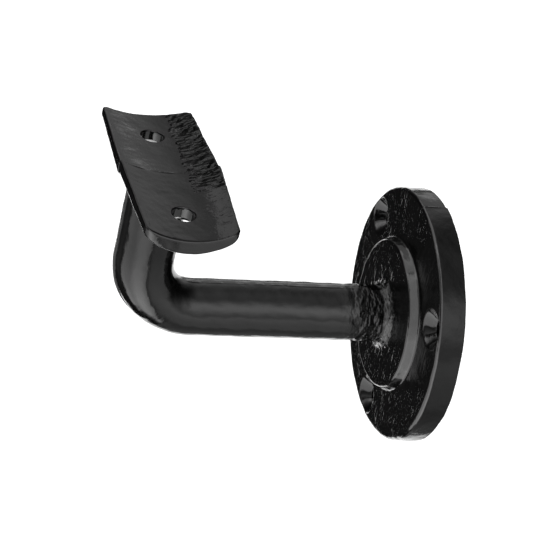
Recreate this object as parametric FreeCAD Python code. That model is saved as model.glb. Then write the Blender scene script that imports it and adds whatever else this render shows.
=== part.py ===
# Cast handrail bracket for a round wall handrail: a round wall rose, a round arm that turns up
# into a short leg, and a saddle plate that the rail lies in. The whole bracket is one grey-iron
# sand casting, so it is modelled as one solid.
#
# Frame, in millimetres: the wall is the plane y = 0 and the bracket stands out of it towards -Y.
# The rail runs along X and +Z is up. The origin is the centre of the rose's back face.
#
# The mould parts on the plane x = 0, and each half of the pattern is drawn sideways along X.
# The arm, leg and rose rim draw freely because they are round. The saddle plate has draft, so it
# is widest and thickest on the parting plane and tapers towards both ends.

import FreeCAD, Part
import math
import os
from FreeCAD import Vector

os.makedirs("parts", exist_ok=True)

# Wall rose: the disc that is screwed to the wall.
ROSE_DIAMETER = 68.4
ROSE_THICKNESS = 7.4
ROSE_EDGE_BEVEL = 0.6

# Raised boss in the middle of the rose. Its sloping wall runs inwards as it rises.
BOSS_HEIGHT = 2.85
BOSS_WALL_RUN = 0.9
BOSS_EDGE_BEVEL = 0.6

# Wall screws: three countersunk holes on one circle, between the boss and the rose's rim.
# The angle is measured from +X towards +Z.
WALL_SCREW_COUNT = 3
WALL_SCREW_FIRST_ANGLE = 27.0
WALL_SCREW_CLEARANCE = 5.2
WALL_SCREW_HEAD = 10.6
HEAD_TO_RIM = 0.5
HEAD_TO_BOSS = 2.5

# Arm and leg: one round bar that turns up through a right angle.
BAR_DIAMETER = 15.4
WALL_TO_LEG = 78.3
BEND_RADIUS = 15.0
ARM_ROOT_FILLET = 2.6
LEG_TOP_FILLET = 2.4

# Saddle plate. It is centred under the rail, a little nearer the wall than the leg.
RAIL_OFF_LEG = 1.7
SEAT_HEIGHT = 40.1
SEAT_RADIUS = 28.0
SADDLE_LENGTH = 60.0
SADDLE_WIDTH = 26.2
SADDLE_THICKNESS = 5.4
UNDERSIDE_RADIUS = 19.5
SADDLE_CORNER_RADIUS = 2.0
SADDLE_EDGE_ROUND = 0.6

# Draft of the saddle plate's seat and underside, and of its two long walls, in degrees.
FACE_DRAFT = 1.2
WALL_DRAFT = 2.3

# Rail screws: two holes up through the plate, countersunk from below.
RAIL_SCREW_SPACING = 36.4
RAIL_SCREW_CLEARANCE = 5.8
RAIL_SCREW_HEAD = 10.2

# Every screw head has the usual 90 degree countersink.
COUNTERSINK_ANGLE = 90.0

X_AXIS = Vector(1, 0, 0)
Y_AXIS = Vector(0, 1, 0)
Z_AXIS = Vector(0, 0, 1)
ORIGIN = Vector(0, 0, 0)
TOLERANCE = 0.01

rose_radius = ROSE_DIAMETER / 2
screw_circle_radius = rose_radius - HEAD_TO_RIM - WALL_SCREW_HEAD / 2
boss_foot_radius = screw_circle_radius - WALL_SCREW_HEAD / 2 - HEAD_TO_BOSS
boss_top_radius = boss_foot_radius - BOSS_WALL_RUN
bar_radius = BAR_DIAMETER / 2
boss_front = ROSE_THICKNESS + BOSS_HEIGHT
arm_end = WALL_TO_LEG - BEND_RADIUS
wall_to_rail = WALL_TO_LEG - RAIL_OFF_LEG
saddle_half_length = SADDLE_LENGTH / 2
underside_height = SEAT_HEIGHT - SADDLE_THICKNESS
face_slope = math.tan(math.radians(FACE_DRAFT))
wall_slope = math.tan(math.radians(WALL_DRAFT))
countersink_slope = math.tan(math.radians(COUNTERSINK_ANGLE / 2))


def rounded_wire(corners):
    """A closed wire through (point, radius) corners, with each corner rounded to its radius."""
    count = len(corners)
    stops = []
    for index in range(count):
        point, radius = corners[index]
        to_last = (corners[index - 1][0] - point).normalize()
        to_next = (corners[(index + 1) % count][0] - point).normalize()
        half_angle = to_last.getAngle(to_next) / 2
        reach = radius / math.tan(half_angle)
        inward = (to_last + to_next).normalize()
        middle = point + inward * radius * (1 / math.sin(half_angle) - 1)
        stops.append((point + to_last * reach, middle, point + to_next * reach))
    edges = []
    for index in range(count):
        start, middle, end = stops[index]
        following = stops[(index + 1) % count][0]
        if start.distanceToPoint(end) > TOLERANCE:
            edges.append(Part.Arc(start, middle, end).toShape())
        edges.append(Part.LineSegment(end, following).toShape())
    return Part.Wire(edges)


def rose_and_arm():
    """The rose, its boss and the straight arm: one profile turned about the arm's axis."""
    corners = [
        (ORIGIN, 0),
        (Vector(rose_radius, 0, 0), 0),
        (Vector(rose_radius, -ROSE_THICKNESS + ROSE_EDGE_BEVEL, 0), 0),
        (Vector(rose_radius - ROSE_EDGE_BEVEL, -ROSE_THICKNESS, 0), 0),
        (Vector(boss_foot_radius, -ROSE_THICKNESS, 0), 0),
        (Vector(boss_top_radius, -boss_front + BOSS_EDGE_BEVEL, 0), 0),
        (Vector(boss_top_radius - BOSS_EDGE_BEVEL, -boss_front, 0), 0),
        (Vector(bar_radius, -boss_front, 0), ARM_ROOT_FILLET),
        (Vector(bar_radius, -arm_end, 0), 0),
        (Vector(0, -arm_end, 0), 0),
    ]
    profile = Part.Face(rounded_wire(corners))
    return profile.revolve(ORIGIN, Y_AXIS, 360)


def bend():
    """The bar's quarter turn from the arm up to the leg."""
    bar_end = Part.Circle(Vector(0, -arm_end, 0), Y_AXIS, bar_radius)
    section = Part.Face(Part.Wire([bar_end.toShape()]))
    return section.revolve(Vector(0, -arm_end, BEND_RADIUS), X_AXIS, -90)


def leg():
    """The upright bar, which ends inside the thickness of the saddle plate."""
    foot = Vector(0, -WALL_TO_LEG, BEND_RADIUS)
    height = underside_height + SADDLE_THICKNESS / 2 - BEND_RADIUS
    return Part.makeCylinder(bar_radius, height, foot, Z_AXIS)


def trough(radius, lowest, slope):
    """A round bar along the rail that is lowest at height lowest where it crosses x = 0.

    It leans by the slope, down towards +X when the slope is positive.
    """
    along = Vector(1, 0, -slope).normalize()
    start = Vector(0, -wall_to_rail, lowest + radius) - along * SADDLE_LENGTH
    return Part.makeCylinder(radius, 2 * SADDLE_LENGTH, start, along)


def between_wall_and_shell(edge, solid):
    """True if the edge joins an upright wall of the plate to its seat or its underside."""
    upright = []
    for face in solid.ancestorsOfType(edge, Part.Face):
        where = face.Surface.parameter(edge.valueAt(edge.FirstParameter))
        upright.append(abs(face.normalAt(*where).z) < TOLERANCE)
    return True in upright and False in upright


def half_plate():
    """The +X half of the saddle plate: a drafted blank between the underside and the seat."""
    mid_width = SADDLE_WIDTH / 2
    end_width = mid_width - saddle_half_length * wall_slope
    outline = [
        (Vector(0, -wall_to_rail - mid_width, 0), 0),
        (Vector(saddle_half_length, -wall_to_rail - end_width, 0), SADDLE_CORNER_RADIUS),
        (Vector(saddle_half_length, -wall_to_rail + end_width, 0), SADDLE_CORNER_RADIUS),
        (Vector(0, -wall_to_rail + mid_width, 0), 0),
    ]
    blank = Part.Face(rounded_wire(outline)).extrude(Z_AXIS * (SEAT_HEIGHT + SEAT_RADIUS))
    below = trough(UNDERSIDE_RADIUS, underside_height, -face_slope)
    seat = trough(SEAT_RADIUS, SEAT_HEIGHT, face_slope)
    half = blank.common(below).cut(seat)
    rim = []
    for edge in half.Edges:
        on_parting_plane = edge.CenterOfMass.x < TOLERANCE
        if not on_parting_plane and between_wall_and_shell(edge, half):
            rim.append(edge)
    return half.makeFillet(SADDLE_EDGE_ROUND, rim)


def fillet_leg_top(casting):
    """Rounds the corner where the leg meets the underside of the saddle plate."""
    seam = []
    for edge in casting.Edges:
        points = edge.discretize(9)
        off_axis = [math.hypot(point.x, point.y + WALL_TO_LEG) for point in points]
        on_leg = all(abs(distance - bar_radius) < TOLERANCE for distance in off_axis)
        if on_leg and min(point.z for point in points) > underside_height - TOLERANCE:
            seam.append(edge)
    return casting.makeFillet(LEG_TOP_FILLET, seam)


def screw_hole(mouth, inward, clearance, head):
    """A cutter for one countersunk hole from its mouth, with room to spare at both ends."""
    reach = ROSE_THICKNESS + SADDLE_THICKNESS
    depth = (head - clearance) / 2 / countersink_slope
    lip = head / 2 + reach * countersink_slope
    cone = Part.makeCone(lip, clearance / 2, reach + depth, mouth - inward * reach, inward)
    shank = Part.makeCylinder(clearance / 2, 2 * reach, mouth, inward)
    return cone.fuse(shank)


def wall_screw_holes():
    """The countersunk holes of the rose, entered from its front face."""
    holes = []
    for index in range(WALL_SCREW_COUNT):
        angle = math.radians(WALL_SCREW_FIRST_ANGLE + index * 360 / WALL_SCREW_COUNT)
        across = screw_circle_radius * math.cos(angle)
        up = screw_circle_radius * math.sin(angle)
        mouth = Vector(across, -ROSE_THICKNESS, up)
        holes.append(screw_hole(mouth, Y_AXIS, WALL_SCREW_CLEARANCE, WALL_SCREW_HEAD))
    return holes


def rail_screw_holes():
    """The countersunk holes of the saddle plate, entered from its underside."""
    holes = []
    for side in (-1, 1):
        along = side * RAIL_SCREW_SPACING / 2
        height = underside_height + RAIL_SCREW_SPACING / 2 * face_slope
        mouth = Vector(along, -wall_to_rail, height)
        holes.append(screw_hole(mouth, Z_AXIS, RAIL_SCREW_CLEARANCE, RAIL_SCREW_HEAD))
    return holes


right_half = half_plate()
left_half = right_half.mirror(ORIGIN, X_AXIS)
casting = rose_and_arm().fuse([bend(), leg(), right_half, left_half]).removeSplitter()
casting = fillet_leg_top(casting)
casting = casting.cut(wall_screw_holes() + rail_screw_holes()).Solids[0]
casting.exportStep("parts/bracket_casting.step")
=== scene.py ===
import bpy
import numpy as np
from mathutils import Matrix, Vector


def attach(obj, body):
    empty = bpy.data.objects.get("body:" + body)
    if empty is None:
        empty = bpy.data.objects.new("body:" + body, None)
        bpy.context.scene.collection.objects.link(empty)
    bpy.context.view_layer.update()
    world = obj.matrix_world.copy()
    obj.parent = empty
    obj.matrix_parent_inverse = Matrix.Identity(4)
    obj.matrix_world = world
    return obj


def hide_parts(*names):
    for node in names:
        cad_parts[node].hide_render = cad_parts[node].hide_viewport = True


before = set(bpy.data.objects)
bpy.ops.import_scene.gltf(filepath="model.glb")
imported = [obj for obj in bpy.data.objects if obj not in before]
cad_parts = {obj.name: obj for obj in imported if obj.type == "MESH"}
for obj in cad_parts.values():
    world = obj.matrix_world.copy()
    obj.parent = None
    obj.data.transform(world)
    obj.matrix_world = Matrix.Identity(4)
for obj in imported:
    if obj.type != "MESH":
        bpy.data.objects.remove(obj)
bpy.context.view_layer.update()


# The casting: rose, boss, arm, leg and saddle plate, poured in grey iron as one piece. The sand
# mould had two halves that met on the plane x = 0 and closed a little out of line, so there is a
# small step and a thin seam along that plane. The screw holes were drilled after casting.

ROSE_RADIUS = 34.05
ROSE_THICKNESS = 7.4
ROSE_FRONT_EDGE = 1.0
ROSE_FRONT_EDGE_GAIN = 0.9
ROSE_REAR_EDGE = 0.3
BOSS_FOOT_RADIUS = 20.6
BOSS_FOOT_FILLET = 0.5
BOSS_WALL_RUN = 0.9
BOSS_HEIGHT = 2.85
BOSS_EDGE = 0.6
BOSS_START = 3.0
WALL_SCREW_CIRCLE_RADIUS = 28.4
WALL_SCREW_ANGLES = (27.0, 147.0, 267.0)
WALL_SCREW_RADIUS = 2.6
WALL_SCREW_HEAD_RADIUS = 5.3
WALL_SCREW_EDGE = 0.35
WALL_CUTTER_START = 16.0
BAR_RADIUS = 7.7
BAR_START = 7.9
ARM_ROOT_FILLET = 2.6
WALL_TO_LEG = 78.3
BEND_RADIUS = 15.0
LEG_TOP = 37.5
LEG_TOP_FILLET = 2.4
WALL_TO_RAIL = 76.6
SEAT_HEIGHT = 40.1
SEAT_RADIUS = 28.0
SADDLE_HALF_LENGTH = 30.0
SADDLE_HALF_WIDTH = 13.1
SADDLE_THICKNESS = 5.4
SADDLE_END_BULGE = 0.007
SADDLE_CORNER = 2.0
SADDLE_EDGE = 0.8
UNDERSIDE_RADIUS = 19.5
FACE_SLOPE = 0.0209
WALL_SLOPE = 0.0402
RAIL_SCREW_REACH = 18.2
RAIL_SCREW_RADIUS = 2.9
RAIL_SCREW_HEAD_RADIUS = 5.1
RAIL_SCREW_EDGE = 0.4
RAIL_CUTTER_START = 30.0
RAIL_SCREW_SET_OFF = 0.25
PAINT_IN_COUNTERSINK = 0.5
MOULD_STEP = 0.44
OUTER_LIMIT = 89.55
CELL = 0.68
SHORTEST_SPLIT = 0.18


def joined(first, second, fillet):
    """The distance to two bodies together, with a round fillet in the corner between them:
    the nearer of the two, less what a circle of the fillet's radius fills in."""
    gap = np.hypot(np.maximum(fillet - first, 0), np.maximum(fillet - second, 0))
    return np.maximum(fillet, np.minimum(first, second)) - gap


def shared(first, second, edge):
    """The distance to what two bodies have in common, with the edge between them rounded:
    the farther of the two, with a circle of the edge's radius rolled inside the corner."""
    corner = np.hypot(np.maximum(first + edge, 0), np.maximum(second + edge, 0))
    return np.minimum(-edge, np.maximum(first, second)) + corner


def casting(place):
    """Distance in millimetres from each place to the casting, negative inside the iron. Each
    form is a distance formula in x, out from the wall, and z: a disc and a cone frustum for the
    rose, a tube's distance to its centre line for the arm, bend and leg, two cylinders and four
    leaning walls for the saddle plate, and a cone with a cylinder for each screw hole."""
    x, y, z = place
    blend = np.clip(x / 0.5 + 0.5, 0, 1)
    out = MOULD_STEP * (blend * blend * (3 - 2 * blend) - 0.5) - y

    # Rose and boss.
    radial = np.hypot(x, z)
    rear = y + 0.9 * MOULD_STEP * (1 - blend)
    rim = radial - ROSE_RADIUS
    front_edge = ROSE_FRONT_EDGE + ROSE_FRONT_EDGE_GAIN * np.clip(-z / ROSE_RADIUS, 0, 1)
    front = shared(rim, -y - ROSE_THICKNESS, front_edge)
    rose = np.maximum(front, shared(rim, rear, ROSE_REAR_EDGE))
    lean = BOSS_WALL_RUN / BOSS_HEIGHT
    boss_wall = (radial - BOSS_FOOT_RADIUS - (y + ROSE_THICKNESS) * lean) / np.hypot(1, lean)
    boss_top = -y - ROSE_THICKNESS - BOSS_HEIGHT
    boss = np.maximum(shared(boss_wall, boss_top, BOSS_EDGE), y + BOSS_START)
    body = joined(rose, boss, BOSS_FOOT_FILLET)

    # Arm, bend and leg.
    beyond = out - WALL_TO_LEG + BEND_RADIUS
    above = z - BEND_RADIUS
    off_arm = np.hypot(np.hypot(z, np.maximum(beyond, 0)), np.maximum(BAR_START - out, 0))
    off_leg = np.hypot(beyond - BEND_RADIUS, np.maximum(-above, 0))
    off_bend = np.abs(np.hypot(beyond, above) - BEND_RADIUS)
    off_line = np.where((beyond > 0) & (above < 0), off_bend, np.minimum(off_arm, off_leg))
    bar = np.maximum(np.hypot(off_line, x) - BAR_RADIUS, z - LEG_TOP)
    body = joined(body, bar, ARM_ROOT_FILLET)

    # Saddle plate.
    along = np.abs(x)
    across = WALL_TO_RAIL - out
    seat = SEAT_RADIUS - np.hypot(across, z - SEAT_HEIGHT - SEAT_RADIUS + along * FACE_SLOPE)
    low = SEAT_HEIGHT - SADDLE_THICKNESS + along * FACE_SLOPE
    under = np.hypot(across, z - low - UNDERSIDE_RADIUS) - UNDERSIDE_RADIUS
    wall = np.abs(across) - SADDLE_HALF_WIDTH + along * WALL_SLOPE
    end = along - SADDLE_HALF_LENGTH + SADDLE_END_BULGE * across ** 2
    outline = shared(wall, end, SADDLE_CORNER)
    plate = np.maximum(shared(outline, seat, SADDLE_EDGE), shared(outline, under, SADDLE_EDGE))
    body = joined(body, plate, LEG_TOP_FILLET)

    # Screw holes. Each cutter ends in the air, before its cone would reach the arm or the leg.
    for angle in np.radians(WALL_SCREW_ANGLES):
        off_axis = np.hypot(x - WALL_SCREW_CIRCLE_RADIUS * np.cos(angle),
                            z - WALL_SCREW_CIRCLE_RADIUS * np.sin(angle))
        cone = (off_axis - WALL_SCREW_HEAD_RADIUS + ROSE_THICKNESS + y) / np.sqrt(2)
        hole = np.maximum(np.minimum(off_axis - WALL_SCREW_RADIUS, cone), -y - WALL_CUTTER_START)
        body = shared(body, -hole, WALL_SCREW_EDGE)
    for side, set_off in ((-1, RAIL_SCREW_SET_OFF), (1, 0)):
        off_axis = np.hypot(x - side * RAIL_SCREW_REACH, out - WALL_TO_RAIL - set_off)
        mouth = SEAT_HEIGHT - SADDLE_THICKNESS + RAIL_SCREW_REACH * FACE_SLOPE
        cone = (off_axis - RAIL_SCREW_HEAD_RADIUS + z - mouth + PAINT_IN_COUNTERSINK) / np.sqrt(2)
        hole = np.maximum(np.minimum(off_axis - RAIL_SCREW_RADIUS, cone), RAIL_CUTTER_START - z)
        body = shared(body, -hole, RAIL_SCREW_EDGE)
    return np.maximum(np.maximum(body, rear), -OUTER_LIMIT - y)


def waves(place, length, seed):
    """A smooth random field: twelve sine waves of one length in random directions, added."""
    random = np.random.default_rng(seed)
    way = random.normal(size=(12, 3))
    way *= 2 * np.pi / length / np.linalg.norm(way, axis=1)[:, None]
    turn = random.uniform(0, 2 * np.pi, (12, 1))
    return np.sin(way @ place + turn).sum(0) / np.sqrt(6)


def painted_casting(place):
    """The casting's distance with the lumps of the sand and the paint, which only ever lie
    inside the drawn form, and the ragged bead of the seam, a bell curve across x = 0 that has
    been filed off the rose's face. The lumps are sums of waves, with short ones added where the
    skin is rough: the root of the arm, and the wall side of the seat as far as x = 8.5."""
    x, y, z = place
    radial = np.hypot(x, z)
    root = np.clip((y + 23) / 4, 0, 1) * np.clip((14 - radial) / 3, 0, 1) * (y < -9)
    wet = np.clip((y + 72) / 1.2, 0, 1) * np.clip((9 - x) / 0.8, 0, 1) * (z > 37) * (y < -50)
    lumps = 0.035 * waves(place, 14, 1) + 0.02 * waves(place, 5, 2) + 0.009 * waves(place, 2.2, 3)
    lumps = np.clip(lumps, -0.1, 0.1) + 0.09 * root * np.clip(waves(place, 2.4, 5), -1.6, 0)
    lumps = lumps + 0.05 * wet * np.clip(waves(place, 2.0, 6), -1.6, 0)
    bead = 0.13 * np.exp(-(x / 0.25) ** 2) * np.clip(0.7 + 0.5 * waves(place, 4, 4), 0, 1)
    fettled = (y > -ROSE_THICKNESS - 6) & (radial < ROSE_RADIUS - 1)
    return casting(place) - lumps + 0.1 - bead * ~fettled


def steepest(distance, place):
    """The distance's slope along each axis, from its values 0.02 mm to either side."""
    step = 0.02 * np.eye(3)[:, :, None]
    return np.array([distance(place + s) - distance(place - s) for s in step]) / 0.04


def settled(distance, place, rounds):
    """The places moved onto the surface: each round steps back along the slope by the distance."""
    for _ in range(rounds):
        slope = steepest(distance, place)
        size = np.maximum((slope ** 2).sum(0), 0.25)
        place = place - slope * np.clip(distance(place), -0.3, 0.3) / size
    return place


def lattice_skin(distance, low, high, cell):
    """A skin of four-sided faces: each lattice edge whose ends lie on either side of the surface
    gets a face, and each cell such edges touch gets a corner at the mean of their crossings."""
    ticks = [np.arange(a, b, cell) for a, b in zip(low, high)]
    field = distance(np.meshgrid(*ticks, indexing="ij", sparse=True))
    cells = np.array(field.shape) - 1
    total = np.zeros((cells.prod(), 3))
    touched = np.zeros(cells.prod())
    quads = []
    for axis in range(3):
        near = np.moveaxis(np.moveaxis(field, axis, 0)[:-1], 0, axis)
        far = np.moveaxis(np.moveaxis(field, axis, 0)[1:], 0, axis)
        crossed = (near < 0) != (far < 0)
        corner = np.argwhere(crossed)
        spot = corner.astype(float)
        spot[:, axis] += near[crossed] / (near[crossed] - far[crossed])
        others = np.eye(3, dtype=int)[[k for k in range(3) if k != axis]]
        quad = []
        for turn in ((0, 0), (1, 0), (1, 1), (0, 1)):
            number = np.ravel_multi_index((corner - np.array(turn) @ others).T, cells)
            np.add.at(total, number, spot)
            np.add.at(touched, number, 1)
            quad.append(number)
        quad = np.stack(quad, 1)
        backwards = (near[crossed] < 0) == (axis == 1)
        quad[backwards] = quad[backwards][:, ::-1]
        quads.append(quad)
    quads = np.concatenate(quads)
    used = np.unique(quads)
    place = total[used] / touched[used][:, None] * cell + np.array(low)
    return place.T, np.searchsorted(used, quads)


def relaxed(place, quads):
    """Each corner moved to the mean of the corners that its faces' edges join it to."""
    ends = np.concatenate([quads[:, [k, (k + 1) % 4]] for k in range(4)])
    ends = np.concatenate([ends, ends[:, ::-1]])
    count = np.bincount(ends[:, 0])
    return np.array([np.bincount(ends[:, 0], row[ends[:, 1]]) / count for row in place])


def refined(distance, place, triangles, error, shortest):
    """The triangles divided where they cut corners: an edge whose middle is farther than the
    error from the surface is split there, and a triangle becomes two, three or four."""
    sides = np.sort(np.concatenate([triangles[:, [k, (k + 1) % 3]] for k in range(3)]), axis=1)
    edges, number = np.unique(sides, axis=0, return_inverse=True)
    start, end = place[:, edges[:, 0]], place[:, edges[:, 1]]
    long = np.linalg.norm(start - end, axis=0) > shortest
    split = long & (np.abs(distance((start + end) / 2)) > error)
    middle = np.full(len(edges), -1)
    middle[split] = place.shape[1] + np.arange(split.sum())
    place = np.concatenate([place, settled(distance, ((start + end) / 2)[:, split], 3)], axis=1)
    middle = middle[number.reshape(3, -1).T]
    code = (middle >= 0) @ np.array([1, 2, 4])
    parts = [triangles[code == 0]]
    for codes, pieces in (
        ((1, 2, 4), ((0, 3, 2), (3, 1, 2))),
        ((3, 6, 5), ((3, 1, 4), (0, 3, 4), (0, 4, 2))),
        ((7,), ((0, 3, 5), (3, 1, 4), (5, 4, 2), (3, 4, 5))),
    ):
        for turn, wanted in enumerate(codes):
            rows = code == wanted
            six = np.hstack([np.roll(triangles[rows], -turn, 1), np.roll(middle[rows], -turn, 1)])
            parts += [six[:, piece] for piece in pieces]
    return place, np.concatenate(parts)


# The lattice skin of the bare form is pressed onto the painted one, evened out and refined.
place, quads = lattice_skin(casting, (-34.9, -90.4, -34.9), (35.0, 0.9, 44.2), CELL)
place = settled(painted_casting, place, 2)
for _ in range(3):
    place = settled(painted_casting, relaxed(place, quads), 2)
corners = place[:, quads]
across = np.linalg.norm(corners[:, :, 0] - corners[:, :, 2], axis=0)
other = np.linalg.norm(corners[:, :, 1] - corners[:, :, 3], axis=0)
quads = np.where((across <= other)[:, None], quads, np.roll(quads, -1, 1))
triangles = np.concatenate([quads[:, [0, 1, 2]], quads[:, [0, 2, 3]]])
for error in (0.02, 0.012, 0.012):
    place, triangles = refined(painted_casting, place, triangles, error, SHORTEST_SPLIT)
place = settled(painted_casting, place, 1)
outward = steepest(painted_casting, place)
outward /= np.linalg.norm(outward, axis=0)

skin = bpy.data.meshes.new("bracket_skin")
skin.from_pydata((place.T / 1000).tolist(), [], triangles.tolist())
skin.polygons.foreach_set("use_smooth", [True] * len(skin.polygons))
skin.normals_split_custom_set_from_vertices(outward.T.tolist())
bracket = bpy.data.objects.new("bracket_skin", skin)
bpy.context.scene.collection.objects.link(bracket)


# The paint: one thick coat of gloss black brushed over the bare sand casting. It has flowed
# smooth on the arm and the rim, and keeps the file strokes on the rose, the brush strokes on the
# seat and the grain of the sand in the corners.

class Socket:
    """A shader socket that Python's + - * build Math nodes on."""

    def __init__(self, paint, link):
        self.paint = paint
        self.link = link

    def maths(self, operation, *others):
        return self.paint.node("ShaderNodeMath", {"operation": operation}, (self,) + others)[0]

    def __add__(self, other):
        return self.maths("ADD", other)

    def __sub__(self, other):
        return self.maths("SUBTRACT", other)

    def __mul__(self, other):
        return self.maths("MULTIPLY", other)

    def __rsub__(self, other):
        return self.paint.node("ShaderNodeMath", {"operation": "SUBTRACT"}, (other, self))[0]

    __radd__ = __add__
    __rmul__ = __mul__

    def between(self, low, high):
        """0 below low, 1 above high, and a straight line from one to the other."""
        span = {"From Min": low, "From Max": high}
        return self.paint.node("ShaderNodeMapRange", {"clamp": True}, {"Value": self, **span})[0]


class Finish:
    """The nodes of one material or world, with one method that adds any node."""

    def __init__(self, owner, shader):
        owner.use_nodes = True
        self.tree = owner.node_tree
        self.shader = self.tree.nodes[shader]

    def node(self, kind, settings, sockets):
        """Adds a node of one kind, sets its settings, and then its sockets to values or links."""
        made = self.tree.nodes.new(kind)
        for name, value in settings.items():
            setattr(made, name, value)
        pairs = sockets.items() if isinstance(sockets, dict) else enumerate(sockets)
        for name, value in pairs:
            if isinstance(value, Socket):
                self.tree.links.new(value.link, made.inputs[name])
            else:
                made.inputs[name].default_value = value
        return [Socket(self, link) for link in made.outputs if link.enabled]

    def feed(self, name, value):
        if isinstance(value, Socket):
            self.tree.links.new(value.link, self.shader.inputs[name])
        else:
            self.shader.inputs[name].default_value = value


black_paint = bpy.data.materials.new("gloss_black_paint")
paint = Finish(black_paint, "Principled BSDF")
where = paint.node("ShaderNodeTexCoord", {}, {})
facing, spot = where[1], where[3]
x, y, z = paint.node("ShaderNodeSeparateXYZ", {}, [spot])
facing_x, facing_y, facing_z = paint.node("ShaderNodeSeparateXYZ", {}, [facing])


def grain(stretch, turn, fine, detail, warp=0.0):
    """Cloudy noise between 0 and 1, with its cells turned and then stretched along each axis."""
    mapping = paint.node("ShaderNodeMapping", {}, {
        "Vector": spot, "Rotation": turn, "Scale": stretch})
    return paint.node("ShaderNodeTexNoise", {}, {
        "Vector": mapping[0], "Scale": fine, "Detail": detail, "Roughness": 0.6, "Distortion": warp})[0]


# Where each kind of surface is.
off_centre = (x * x + z * z).maths("SQRT")
rose_face = (facing_y * -1).between(0.8, 0.97) * y.between(-0.0125, -0.0118)
seat_face = facing_z.between(0.7, 0.85) * z.between(0.0388, 0.0392)
arm_root = y.between(-0.024, -0.017) * (1 - off_centre.between(0.0118, 0.0135))
arm_root = arm_root * (1 - rose_face) * (1 - y.between(-0.0098, -0.0092))
wander = grain((0.5, 1, 0.5), (0, 0, 0), 420, 2)
across_wander = grain((1, 0.4, 1), (0, 0, 0), 420, 2)
wall_side = seat_face * (y + 0.004 * across_wander).between(-0.0698, -0.0692)
wet_side = wall_side * (1 - (x - 0.003 * wander).between(0.0066, 0.0072))
sloping = (facing_y * -1).between(0.12, 0.22) * (1 - (facing_y * -1).between(0.9, 0.96))
drilled = sloping * y.between(-0.0125, -0.0115)
ends = facing_x.maths("ABSOLUTE").between(0.6, 0.8) * z.between(0.0335, 0.0345)
bar = (1 - z.between(0.006, 0.020)) * (1 - y.between(-0.020, -0.016))

# How high the paint stands, in millimetres. On the wet side and round the arm's root it lies in
# runs about 2 mm apart, each a gentle slope and then a short drop.
peel = grain((1, 1, 1), (0, 0, 0), 330, 1)
sand = grain((1, 1, 1), (0, 0, 0), 800, 3)
file_marks = grain((1, 1, 0.14), (0, 0, 0), 1500, 2)
brush_strokes = grain((0.12, 1, 1), (0, 0, -0.55), 1900, 2, 0.2)
scratched_side = seat_face * (1 - y.between(-0.080, -0.072))
runs = (x * 480 + across_wander * 5).maths("FRACT")
ripples = (wander * 5 - y * 430).maths("FRACT")
dashes = grain((1, 0.3, 1), (0, 0, 0), 800, 1).between(0.6, 0.68)
height = 0.02 * peel + (0.065 + 0.10 * wet_side + 0.3 * arm_root) * sand
height = height + 0.1 * rose_face * file_marks
height = height + 0.42 * wet_side * runs + 0.42 * arm_root * ripples
height = height - 0.05 * wall_side * dashes
height = height + 0.012 * seat_face * brush_strokes
height = height + 0.02 * scratched_side * brush_strokes.between(0.62, 0.72)
bump = paint.node("ShaderNodeBump", {}, {"Height": height, "Distance": 0.001, "Strength": 1.0})[0]

# A clear layer doubles the gloss of the drilled cones, the saddle's ends and the bar.
paint.feed("Base Color", (0.0015, 0.0015, 0.0015, 1))
paint.feed("Roughness", 0.08 + 0.12 * peel)
paint.feed("Coat Weight", (drilled + ends + 0.7 * bar).between(0, 1))
paint.feed("Normal", bump)
skin.materials.append(black_paint)

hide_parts("bracket_casting")
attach(bracket, "root")


# The studio: a pale table well below the bracket, and soft lights round it that make up the world.
# The camera sees the world as plain white, and the paint sees the lights in it.

table_mesh = bpy.data.meshes.new("table")
table_mesh.from_pydata(
    [(-3, -0.1, -0.5), (-0.12, -0.1, -0.5), (-0.12, 2.4, -0.5), (-3, 2.4, -0.5)],
    [], [(0, 1, 2, 3)])
table = bpy.data.objects.new("table", table_mesh)
bpy.context.scene.collection.objects.link(table)
pale_table = bpy.data.materials.new("pale_table")
pale = Finish(pale_table, "Principled BSDF")
pale.feed("Base Color", (0.9, 0.9, 0.9, 1))
pale.feed("Roughness", 0.9)
rays = pale.node("ShaderNodeLightPath", {}, {})
camera_ray, glossy_ray, transmission_ray = rays[0], rays[3], rays[6]
pale.feed("Emission Color", (camera_ray + glossy_ray + transmission_ray).between(0, 1))
pale.feed("Emission Strength", 0.8)
table_mesh.materials.append(pale_table)

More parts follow.
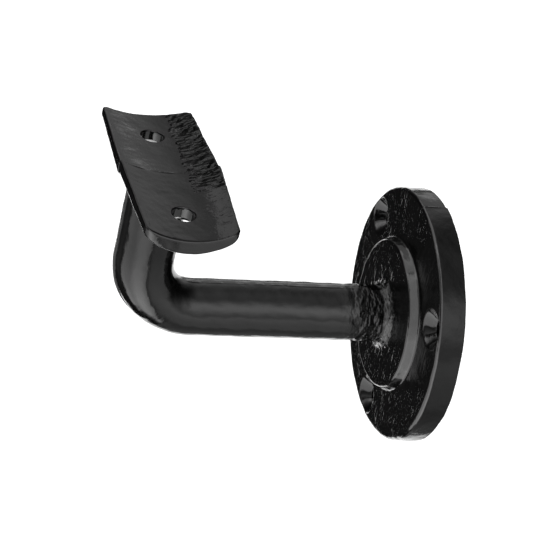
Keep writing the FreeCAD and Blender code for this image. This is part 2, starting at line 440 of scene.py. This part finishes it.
# Each glow: its direction (turned from +X towards +Y, then up), tightness, and brightness in its
# middle, where a white card would be 1. Each panel: how far round it reaches from and to, how far
# up from and to, the width of its soft border, all in degrees, and its brightness.
world = bpy.data.worlds.new("studio")
studio = Finish(world, "Background")
way = studio.node("ShaderNodeTexCoord", {}, {})[0]
way_x, way_y, way_z = studio.node("ShaderNodeSeparateXYZ", {}, [way])
DEGREES_IN_A_RADIAN = 57.3
turned_by = way_y.maths("ARCTAN2", way_x) * DEGREES_IN_A_RADIAN
raised_by = way_z.maths("ARCSINE") * DEGREES_IN_A_RADIAN
light = 0.01
for turned, raised, tight, bright in (
    (-97, 38, 14, 0.8),
    (-126, -30, 22, 0.12),
    (45, 80, 11, 0.42),
    (-179, 60, 16, 0.4),
    (160, 32, 16, 0.4),
    (22, 30, 14, 1.1),
    (22, -3, 9, 0.34),
    (-59, 29, 11, 0.2),
    (142, 14, 15, 0.36),
):
    turned, raised = np.radians(turned), np.radians(raised)
    middle = (np.cos(turned) * np.cos(raised), np.sin(turned) * np.cos(raised), np.sin(raised))
    cosine = studio.node("ShaderNodeVectorMath", {"operation": "DOT_PRODUCT"}, [way, middle])[0]
    light = light + ((cosine - 1) * tight).maths("EXPONENT") * bright
for start, end, low, high, border, bright in (
    (-106, 4, -74, -4, 4, 1.15),
    (-54, -8, -72, 6, 24, 0.75),
    (-50, 4, -4, 76, 4, 1.0),
    (-178, -96, 31, 78, 4, 0.68),
    (-110, -50, 60, 84, 4, 1.1),
    (153, 167, 5, 14, 4, 0.55),
    (10, 93, -52, -6, 10, 0.42),
    (8, 165, -88, -52, 10, 0.2),
):
    half = border / 2
    panel = turned_by.between(start - half, start + half)
    panel = panel * (1 - turned_by.between(end - half, end + half))
    panel = panel * raised_by.between(low - half, low + half)
    panel = panel * (1 - raised_by.between(high - half, high + half))
    light = light + panel * bright
rays = studio.node("ShaderNodeLightPath", {}, {})
camera_ray, transmission_ray = rays[0], rays[6]
seen = (camera_ray + transmission_ray).between(0, 1)
studio.feed("Strength", light * (1 - seen) + seen)
studio.feed("Color", (1, 1, 1, 1))
bpy.context.scene.world = world

# The camera has a long lens. It stands about 0.6 m off, mostly towards +X, and looks down.
lens = bpy.data.cameras.new("camera")
lens.sensor_width = 36
lens.lens = 145.53
lens.clip_start = 0.01
camera = bpy.data.objects.new("camera", lens)
right = Vector((0.2345, 0.9502, 0.2053)).normalized()
back = Vector((0.7901, -0.3093, 0.5292)).normalized()
up = back.cross(right).normalized()
turn = Matrix((up.cross(back), up, back)).transposed().to_4x4()
camera.matrix_world = Matrix.Translation((0.45649, -0.22112, 0.31657)) @ turn
bpy.context.scene.collection.objects.link(camera)
bpy.context.scene.camera = camera
bpy.context.scene.view_settings.view_transform = "Standard"
